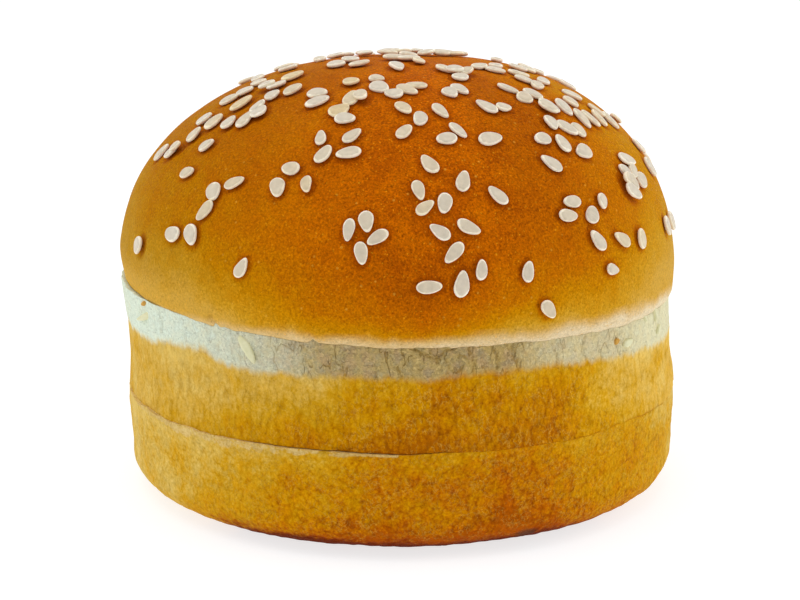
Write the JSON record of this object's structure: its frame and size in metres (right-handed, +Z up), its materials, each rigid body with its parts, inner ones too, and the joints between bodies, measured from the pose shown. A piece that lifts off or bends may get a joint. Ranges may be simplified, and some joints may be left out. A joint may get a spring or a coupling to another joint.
{
  "type": "burger bun",
  "caption": "Round club-style burger bun sliced into a heel, a club layer and a domed crown that rest on each other, with hulled sesame seeds lying on the crown's crust",
  "frame": {"origin": "centre of the heel's flat underside, on the surface that the bun stands on", "axes": "+Z up through the stacked pieces, front of the bun faces -Y, +X to the right seen from the front"},
  "size_m": [0.0927, 0.0928, 0.0701],
  "materials": {
    "crown_crust": "egg-washed, deep golden-brown baked crust with fine speckle, over a pale crumb",
    "club_crust": "golden baked side crust with a pale soft band above it, over a pale crumb",
    "heel_crust": "golden to reddish-brown pan crust, darkest under the foot, over a pale crumb",
    "sesame_seed": "hulled cream-white sesame seed, faintly translucent"
  },
  "bodies": {
    "root": {"crown": "crown_crust", "club": "club_crust", "heel": "heel_crust", "sesame_seed_01": "sesame_seed", "sesame_seed_02": "sesame_seed", "sesame_seed_03": "sesame_seed", "sesame_seed_04": "sesame_seed", "sesame_seed_05": "sesame_seed", "sesame_seed_06": "sesame_seed", "sesame_seed_07": "sesame_seed", "sesame_seed_08": "sesame_seed", "sesame_seed_09": "sesame_seed", "sesame_seed_10": "sesame_seed", "sesame_seed_11": "sesame_seed", "sesame_seed_12": "sesame_seed", "sesame_seed_13": "sesame_seed", "sesame_seed_14": "sesame_seed", "sesame_seed_15": "sesame_seed", "sesame_seed_16": "sesame_seed", "sesame_seed_17": "sesame_seed", "sesame_seed_18": "sesame_seed", "sesame_seed_19": "sesame_seed", "sesame_seed_20": "sesame_seed", "sesame_seed_21": "sesame_seed", "sesame_seed_22": "sesame_seed", "sesame_seed_23": "sesame_seed", "sesame_seed_24": "sesame_seed", "sesame_seed_25": "sesame_seed", "sesame_seed_26": "sesame_seed", "sesame_seed_27": "sesame_seed", "sesame_seed_28": "sesame_seed", "sesame_seed_29": "sesame_seed", "sesame_seed_30": "sesame_seed", "sesame_seed_31": "sesame_seed", "sesame_seed_32": "sesame_seed", "sesame_seed_33": "sesame_seed", "sesame_seed_34": "sesame_seed", "sesame_seed_35": "sesame_seed", "sesame_seed_36": "sesame_seed", "sesame_seed_37": "sesame_seed", "sesame_seed_38": "sesame_seed", "sesame_seed_39": "sesame_seed", "sesame_seed_40": "sesame_seed", "sesame_seed_41": "sesame_seed", "sesame_seed_42": "sesame_seed", "sesame_seed_43": "sesame_seed", "sesame_seed_44": "sesame_seed", "sesame_seed_45": "sesame_seed", "sesame_seed_46": "sesame_seed", "sesame_seed_47": "sesame_seed", "sesame_seed_48": "sesame_seed", "sesame_seed_49": "sesame_seed", "sesame_seed_50": "sesame_seed", "sesame_seed_51": "sesame_seed", "sesame_seed_52": "sesame_seed", "sesame_seed_53": "sesame_seed", "sesame_seed_54": "sesame_seed", "sesame_seed_55": "sesame_seed", "sesame_seed_56": "sesame_seed", "sesame_seed_57": "sesame_seed"}
  },
  "joints": []
}
